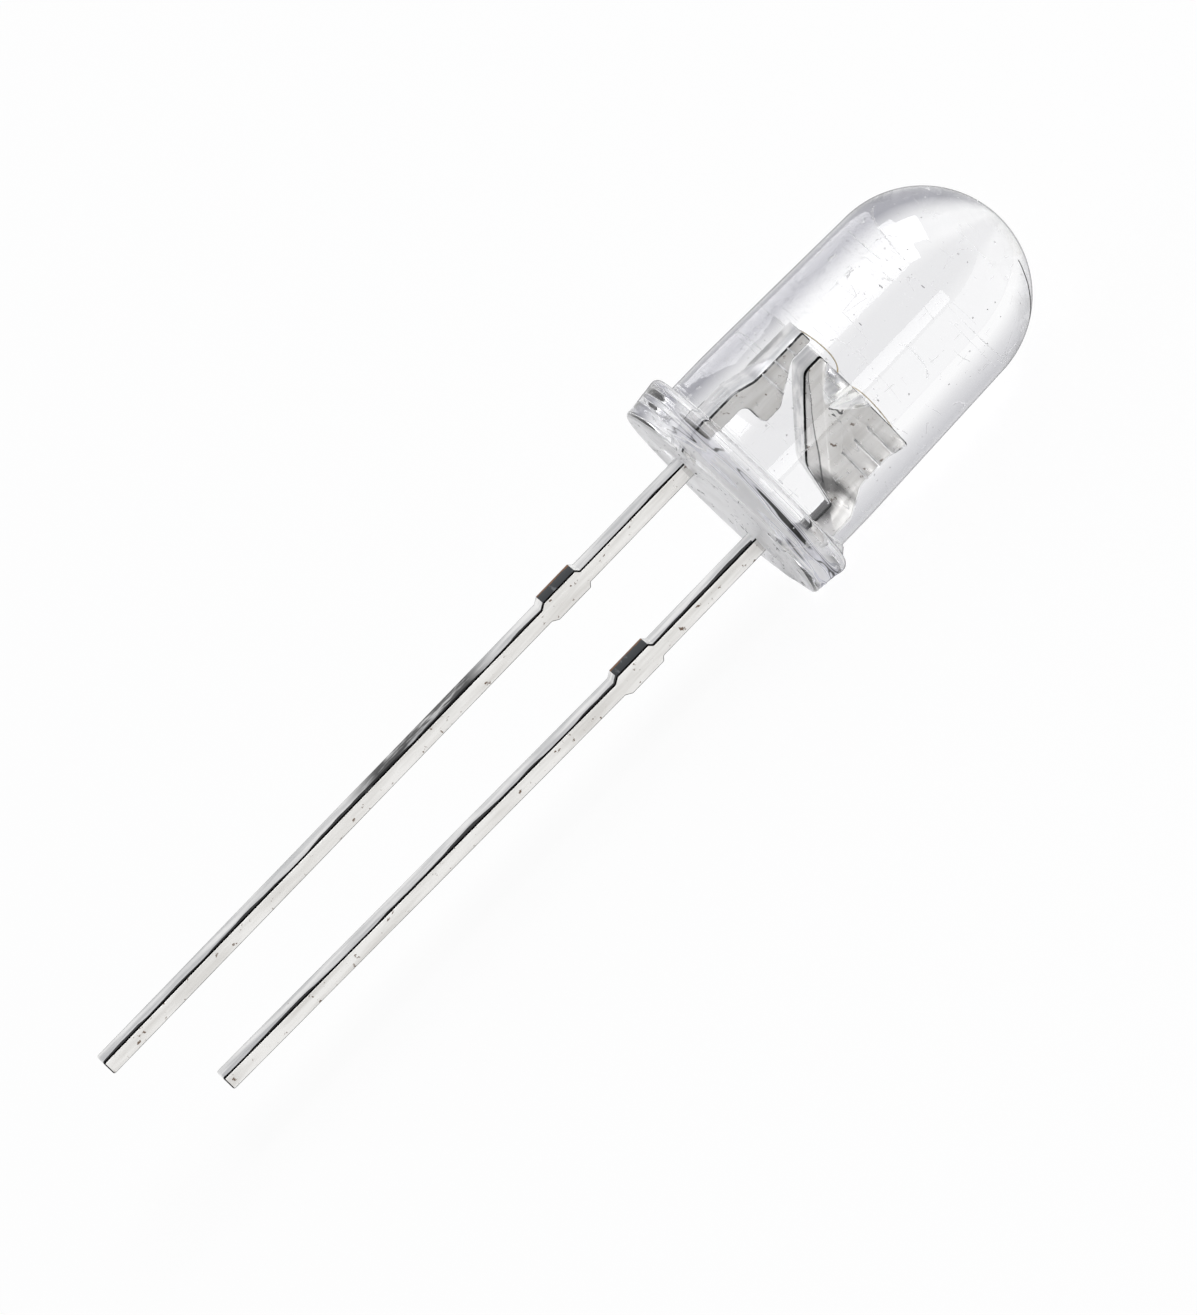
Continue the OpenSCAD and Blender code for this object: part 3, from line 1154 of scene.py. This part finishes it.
    def build(self, leads: list[Vector]) -> bpy.types.Object:
        """Builds the lens.

        Args:
            leads: the centre of each lead where it leaves the lens.

        Returns:
            The lens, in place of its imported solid.
        """
        work = bmesh.new()
        foot = work.verts.new(self.settle(Vector((self.dish_deep, 0.0, 0.0)), leads))
        tip = work.verts.new((self.height, 0.0, 0.0))
        columns = [[work.verts.new(at) for at in self.column(math.tau * k / self.around, leads)]
                   for k in range(self.around)]
        for column, after in zip(columns, columns[1:] + columns[:1]):
            work.faces.new((foot, after[0], column[0]))
            for i in range(len(column) - 1):
                work.faces.new((column[i], after[i], after[i + 1], column[i + 1]))
            work.faces.new((column[-1], after[-1], tip))
        bmesh.ops.recalc_face_normals(work, faces=work.faces)
        self.add_bubbles(work)
        lens = mesh_object("clear_lens", work)
        lens.data.materials.append(ClearEpoxy().make())
        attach(lens, ROOT)
        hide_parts("epoxy_lens")
        return lens


@dataclass
class StampedLead:
    """One lead with its frame, stamped from sheet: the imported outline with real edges."""

    side: Side
    skins: dict[Skin, bpy.types.Material]
    edge: float = 0.045 * MM
    centre: float = 1.27 * MM
    stub_reach: float = 0.24 * MM
    stub_high: float = -3.1 * MM
    stub_low: float = -4.3 * MM
    cup_r: float = 0.5 * MM
    cup_deep: float = 0.3 * MM
    cup_slack: float = 0.01 * MM
    shade_low: float = 0.7 * MM
    shade_top: float = 1.74 * MM
    brow: float = 3.6 * MM
    tip_zone: float = -15.0 * MM
    facing: float = 0.9
    corner_tilt: Pair = (0.12, 0.93)
    end_tilt: float = 0.3
    side_tilt: float = 0.25

    @property
    def node(self) -> str:
        """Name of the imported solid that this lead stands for."""
        return f"{self.side.word}_lead"

    def skin_of(self, face: bmesh.types.BMFace, top: float) -> Skin:
        """Finds the kind of skin that a face of the flat stamping has.

        Args:
            face: the face.
            top: height of the frame's top.

        Returns:
            The skin.
        """
        at = face.calc_center_median()
        if self.in_cup(at, top):
            return Skin.CUP
        if abs(face.normal.y) > self.facing:
            return Skin.ROLLED
        if self.side is Side.CATHODE and face.normal.z > self.facing \
                and self.shade_low < at.x < self.shade_top:
            return Skin.SHADED
        if self.on_stub(at) and abs(face.normal.z) > self.facing:
            return Skin.CUT
        return Skin.SHEARED

    def in_cup(self, at: Vector, top: float) -> bool:
        """Says whether a point lies in the reflector cup.

        Args:
            at: the point.
            top: height of the frame's top.

        Returns:
            True on the cup's wall and floor.
        """
        deep = top - at.x
        reached = self.cup_slack < deep < self.cup_deep + self.cup_slack
        return self.side is Side.CATHODE and reached and math.hypot(at.y, at.z) < self.cup_r

    def on_stub(self, at: Vector) -> bool:
        """Says whether a point lies on the cut end of a tie-bar stub."""
        near = self.stub_low < at.x < self.stub_high
        return near and abs(abs(at.z) - self.centre) > self.stub_reach

    def is_outline(self, edge: bmesh.types.BMEdge) -> bool:
        """Says whether an edge lies between a rolled face and a sheared side."""
        tilts = sorted(abs(face.normal.y) for face in edge.link_faces)
        return len(tilts) == 2 and tilts[0] < 1.0 - self.facing and tilts[1] > self.facing

    def corner_of(self, face: bmesh.types.BMFace) -> Skin | None:
        """Finds the kind of skin that a rounded corner has.

        Args:
            face: a face that the rounding made.

        Returns:
            The skin, or nothing where the face is no corner.
        """
        low, high = self.corner_tilt
        if not low < abs(face.normal.y) < high:
            return None
        at = face.calc_center_median()
        # CORNER and RIM give these corners a painted dark line of reflection; TURNED ones stay mostly
        # pale.
        if self.on_stub(at) or (face.normal.x < -self.end_tilt and at.x < self.tip_zone):
            return Skin.CORNER
        if face.normal.y < 0.0 and face.normal.z > self.side_tilt:
            return Skin.RIM if self.side is Side.ANODE and at.x > 0.0 else Skin.CORNER
        if face.normal.x > self.end_tilt and at.x > self.brow:
            return Skin.CORNER
        return Skin.TURNED if at.x > 0.0 else Skin.RIM

    def build(self, frame: dict) -> bpy.types.Object:
        """Builds the lead.

        Args:
            frame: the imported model.

        Returns:
            The lead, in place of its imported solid.
        """
        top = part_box(self.node)[1].x
        work = bmesh.new()
        work.from_mesh(frame["nodes"][self.node].data)
        bmesh.ops.remove_doubles(work, verts=work.verts, dist=1e-7)
        bmesh.ops.dissolve_limit(work, angle_limit=math.radians(1.0), verts=work.verts,
                                 edges=work.edges)
        for level in (self.shade_low, 0.0):
            bmesh.ops.bisect_plane(work, geom=work.verts[:] + work.edges[:] + work.faces[:],
                                   plane_co=(level, 0.0, 0.0), plane_no=(1.0, 0.0, 0.0))
        for face in work.faces:
            face.material_index = self.skin_of(face, top).value
        edges = [edge for edge in work.edges if self.is_outline(edge)]
        made = bmesh.ops.bevel(work, geom=edges, offset=self.edge, segments=4, profile=0.5,
                               affect="EDGES", clamp_overlap=False)
        for face in made["faces"]:
            skin = self.corner_of(face)
            if skin is not None and face.material_index != Skin.CUP.value:
                face.material_index = skin.value
        lead = mesh_object(f"{self.side.word}_stamping", work)
        for skin in Skin:
            lead.data.materials.append(self.skins[skin])
        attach(lead, ROOT)
        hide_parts(self.node)
        return lead

    def exit(self) -> Vector:
        """Returns the centre of the lead where it leaves the lens."""
        return Vector((0.0, 0.0, self.side.value * self.centre))


@dataclass(frozen=True)
class WireBend:
    """How a wire bends: its pad, its loop over the frame, its run-in and its lift at the ball."""

    pad: str
    loop: float
    run_in: float
    lift: float


BENDS = {Side.ANODE: WireBend("p_pad", 0.1 * MM, 0.5 * MM, 1.0 / 3.0),
         Side.CATHODE: WireBend("n_pad", 0.12 * MM, 0.4 * MM, 0.0)}


@dataclass
class BondWire:
    """One gold wire, ball-bonded to its pad and stitched onto its frame."""

    side: Side
    material: bpy.types.Material
    wire_r: float = 0.013 * MM
    ball_r: float = 0.036 * MM
    ball_h: float = 0.03 * MM
    ball_steps: int = 12
    lean: float = 0.03 * MM
    stitch: float = 0.12 * MM
    around: int = 12
    steps: int = 56

    @property
    def node(self) -> str:
        """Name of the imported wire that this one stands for."""
        return f"{self.side.word}_wire"

    def route(self) -> list[Vector]:
        """Takes the wire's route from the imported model.

        Returns:
            Control points of a cubic curve from the ball to the stitch.
        """
        bend, sign = BENDS[self.side], self.side.value
        low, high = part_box(bend.pad)
        start = Vector((high.x + self.ball_h, 0.0, (low.z + high.z) / 2.0))
        end = max(sign * corner.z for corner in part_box(self.node))
        foot = sign * (end - self.stitch / 2.0)
        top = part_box(f"{self.side.word}_lead")[1].x
        crest = top + bend.loop
        return [start,
                Vector((crest + bend.lift * (crest - start.x), 0.0, start.z + sign * self.lean)),
                Vector((crest, 0.0, foot - sign * bend.run_in)),
                Vector((top + 0.7 * self.wire_r, 0.0, foot))]

    def point_on(self, route: list[Vector], share: float) -> tuple[Vector, Vector]:
        """Finds a point on the route.

        Args:
            route: the curve's control points.
            share: how far along it, from 0 to 1.

        Returns:
            The point and the wire's direction there.
        """
        a, b, c, d = route
        s = 1.0 - share
        at = a * s ** 3 + b * 3.0 * s * s * share + c * 3.0 * s * share ** 2 + d * share ** 3
        way = (b - a) * s * s + (c - b) * 2.0 * s * share + (d - c) * share ** 2
        return at, way.normalized()

    def girth(self, share: float) -> Pair:
        """Returns the wire's half width and half height: round, then a flat stitch at its end."""
        flat = smooth_step(0.95, 1.0, share)
        return (self.wire_r * (1.0 + 1.3 * flat), self.wire_r * (1.0 - 0.65 * flat))

    def ring(self, work: bmesh.types.BMesh, at: Vector, way: Vector,
             girth: Pair) -> list[bmesh.types.BMVert]:
        """Adds one ring of the tube.

        Args:
            work: the mesh under construction.
            at: the ring's centre.
            way: the wire's direction there.
            girth: the wire's half width and half height.

        Returns:
            The ring's points.
        """
        aside = Vector((0.0, 1.0, 0.0))
        up = aside.cross(way)
        wide, high = girth
        turns = [math.tau * k / self.around for k in range(self.around)]
        return [work.verts.new(at + aside * wide * math.cos(a) - up * high * math.sin(a))
                for a in turns]

    def build(self) -> bpy.types.Object:
        """Builds the wire.

        Returns:
            The wire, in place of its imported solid.
        """
        work = bmesh.new()
        route = self.route()
        ball = route[0]
        rings = []
        for i in range(1, self.ball_steps):
            turn = math.pi * i / self.ball_steps
            at = Vector((ball.x - self.ball_h / 2.0 * (1.0 + math.cos(turn)), 0.0, ball.z))
            reach = max(self.ball_r * math.sin(turn) ** 0.7, self.wire_r)
            rings.append(self.ring(work, at, Vector((1.0, 0.0, 0.0)), (reach, reach)))
        for i in range(self.steps + 1):
            at, way = self.point_on(route, i / self.steps)
            rings.append(self.ring(work, at, way, self.girth(i / self.steps)))
        for near, far in zip(rings, rings[1:]):
            for k in range(self.around):
                after = (k + 1) % self.around
                work.faces.new((near[k], near[after], far[after], far[k]))
        work.faces.new(rings[0])
        work.faces.new(rings[-1])
        bmesh.ops.recalc_face_normals(work, faces=work.faces)
        wire = mesh_object(f"{self.side.word}_bond_wire", work)
        wire.data.materials.append(self.material)
        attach(wire, ROOT)
        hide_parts(self.node)
        return wire


@dataclass(frozen=True)
class Softbox:
    """A rectangular softbox: where it hangs, its size, and its level, where 1 is white."""

    name: str
    toward: Triple
    away: float
    size: Pair
    level: float

    def hang(self) -> bpy.types.Object:
        """Hangs the softbox so that it faces the diode.

        Returns:
            The lamp.
        """
        data = bpy.data.lights.new(self.name, "AREA")
        data.shape = "RECTANGLE"
        data.size, data.size_y = self.size
        data.energy = self.level * math.pi * data.size * data.size_y
        lamp = bpy.data.objects.new(self.name, data)
        bpy.context.scene.collection.objects.link(lamp)
        way = Vector(self.toward).normalized()
        aside = (Vector((1.0, 0.0, 0.0)) - way * way.x).normalized()
        turned = Matrix((aside, way.cross(aside), way)).transposed().to_4x4()
        lamp.matrix_world = Matrix.Translation(way * self.away) @ turned
        return lamp


@dataclass
class Studio:
    """White paper, pale light tent, softboxes and camera, set as in the photograph."""

    image_h: int = 1315
    px_per_mm: float = 46.3
    sensor: float = 36.0
    distance: float = 0.30
    clip: Pair = (0.01, 20.0)
    to_camera: Triple = (-0.0349, -0.8824, 0.4692)
    axis_turn: float = math.radians(45.97)
    aim_x: float = -4.134 * MM
    aim_across: float = 0.404 * MM
    floor_z: float = -2.522 * MM
    floor_r: float = 3.0
    paper_grey: float = 0.9
    paper_glow: float = 1.02
    glow_share: float = 0.88
    paper_from: float = -6.0
    paper_reach: float = 20.0
    # painted shade on the paper, seen only through the lens: place across in millimetres, and level
    painted_paper_shade: tuple[Pair, ...] = (
        (-6.0, 0.97), (0.6, 0.93), (1.5, 0.45), (2.0, 0.20), (2.75, 0.26), (3.25, 0.80), (3.55, 0.97),
        (3.75, 0.95), (4.0, 0.97), (4.3, 0.86), (5.0, 0.86), (5.8, 0.95), (14.0, 0.97))
    sky_tones: tuple[Pair, ...] = (
        (0.0, 1.0), (0.10, 1.0), (0.14, 0.95), (0.20, 0.88), (0.26, 0.80), (0.34, 0.72), (0.52, 0.60),
        (0.64, 0.50), (1.0, 0.3))
    tent_tones: tuple[tuple[float, Colour], ...] = (
        (0.0, grey(0.96)), (0.52, grey(0.94)), (0.70, (0.52, 0.52, 0.56)), (0.86, (0.30, 0.30, 0.33)),
        (1.0, (0.22, 0.22, 0.24)))
    dark_room: Colour = (0.05, 0.05, 0.055)
    boxes: tuple[Softbox, ...] = (
        Softbox("wide_box", (0.37, 0.02, 0.93), 0.40, (0.09, 0.46), 4.0),
        Softbox("round_box", (0.58, 0.09, 0.81), 0.40, (0.12, 0.24), 4.0),
        Softbox("front_strip", (-0.04, -0.98, 0.19), 0.50, (0.30, 0.13), 2.6))

    def camera(self) -> bpy.types.Object:
        """Sets up the camera, telephoto and rolled so that the diode lies on the diagonal.

        Returns:
            The camera.
        """
        back = Vector(self.to_camera).normalized()
        along = (Vector((1.0, 0.0, 0.0)) - back * back.x).normalized()
        across = along.cross(back)
        turn = self.axis_turn
        right = along * math.cos(turn) + across * math.sin(turn)
        up = along * math.sin(turn) - across * math.cos(turn)
        data = bpy.data.cameras.new("photo_camera")
        data.sensor_width = self.sensor
        data.lens = self.sensor * self.distance / (self.image_h / self.px_per_mm * MM)
        data.clip_start, data.clip_end = self.clip
        camera = bpy.data.objects.new("photo_camera", data)
        bpy.context.scene.collection.objects.link(camera)
        aim = Vector((self.aim_x, 0.0, 0.0)) + across * self.aim_across
        turned = Matrix((right, up, back)).transposed().to_4x4()
        camera.matrix_world = Matrix.Translation(aim + back * self.distance) @ turned
        bpy.context.scene.camera = camera
        return camera

    def floor(self) -> bpy.types.Object:
        """Lays the white paper that the diode rests on.

        Returns:
            The floor.
        """
        work = bmesh.new()
        bmesh.ops.create_circle(work, cap_ends=True, segments=96, radius=self.floor_r,
                                matrix=Matrix.Translation((0.0, 0.0, self.floor_z)))
        floor = mesh_object("paper_floor", work)
        floor.data.materials.append(self.paper())
        return floor

    def paper(self) -> bpy.types.Material:
        """Builds the finish of the paper: white, with a soft shadow, and with bands of painted shade
        that only show through the lens.

        Returns:
            The material.
        """
        sheet = NodeSheet.named("white_paper")
        # Painted shade: bands of darker paper under the diode, for rays through the lens only.
        away = sheet.math("DIVIDE", sheet.math("SUBTRACT", sheet.axes()[1], self.paper_from),
                          self.paper_reach)
        shade = sheet.ramp(away, *(((y - self.paper_from) / self.paper_reach, self.lilac(level))
                                   for y, level in self.painted_paper_shade))
        camera, gloss, glass = (sheet.ray(kind) for kind in ("Camera", "Glossy", "Transmission"))
        tone = sheet.mixed(glass, grey(1.0), shade)
        seen = sheet.math("MAXIMUM", sheet.math("MAXIMUM", camera, gloss), glass)
        glow = sheet.add("ShaderNodeEmission", tone, self.paper_glow).outputs[0]
        return sheet.finish(sheet.blended(sheet.times(seen, self.glow_share),
                                          sheet.dull(grey(self.paper_grey)), glow))

    def lilac(self, level: float) -> Colour:
        """Returns a grey of that level, cooler the darker it is."""
        return (level, level, min(1.0, level + 0.06 * (1.0 - level)))

    def sky(self) -> bpy.types.World:
        """Wraps the set in a pale tent, bright at the horizon and grey overhead.

        Returns:
            The world.
        """
        world = bpy.data.worlds.new("light_tent")
        bpy.context.scene.world = world
        sheet = NodeSheet(world)
        _, y, z = sheet.axes(sheet.add("ShaderNodeTexCoord").outputs["Generated"])
        glass = sheet.ray("Transmission")
        tent = sheet.ramp(z, *self.tent_tones)
        through = sheet.ramp(z, *((at, self.lilac(level)) for at, level in self.sky_tones))
        front = sheet.levels(sheet.times(y, -1.0), (0.12, 0.0), (0.42, 1.0))
        room = sheet.times(front, sheet.math("SUBTRACT", 1.0, glass))
        light = sheet.mixed(room, sheet.mixed(glass, tent, through), self.dark_room)
        white = sheet.mixed(sheet.ray("Camera"), light, grey(1.0))
        return sheet.finish(sheet.add("ShaderNodeBackground", white).outputs[0])

    def build(self) -> None:
        """Sets up the camera, the floor, the tent and the softboxes."""
        self.camera()
        self.floor()
        self.sky()
        for box in self.boxes:
            box.hang()


def main() -> None:
    logging.basicConfig(level=logging.INFO, format="%(message)s")
    bpy.context.scene.view_settings.view_transform = "Standard"
    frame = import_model()
    Studio().build()
    skins = lead_skins()
    leads = [StampedLead(side, skins) for side in Side]
    for lead in leads:
        LOG.info("made %s", lead.build(frame).name)
    lens = CastLens().build([lead.exit() for lead in leads])
    LOG.info("made %s", lens.name)
    gold = BondGold().make()
    for side in Side:
        LOG.info("made %s", BondWire(side, gold).build().name)
    finishes = {"led_die": ChipFace().make(), "die_attach": CuredAdhesive().make(),
                "p_pad": gold, "n_pad": gold}
    for node, finish in finishes.items():
        frame["nodes"][node].material_slots[0].material = finish
        LOG.info("dressed %s", node)


if __name__ == "__main__":
    main()
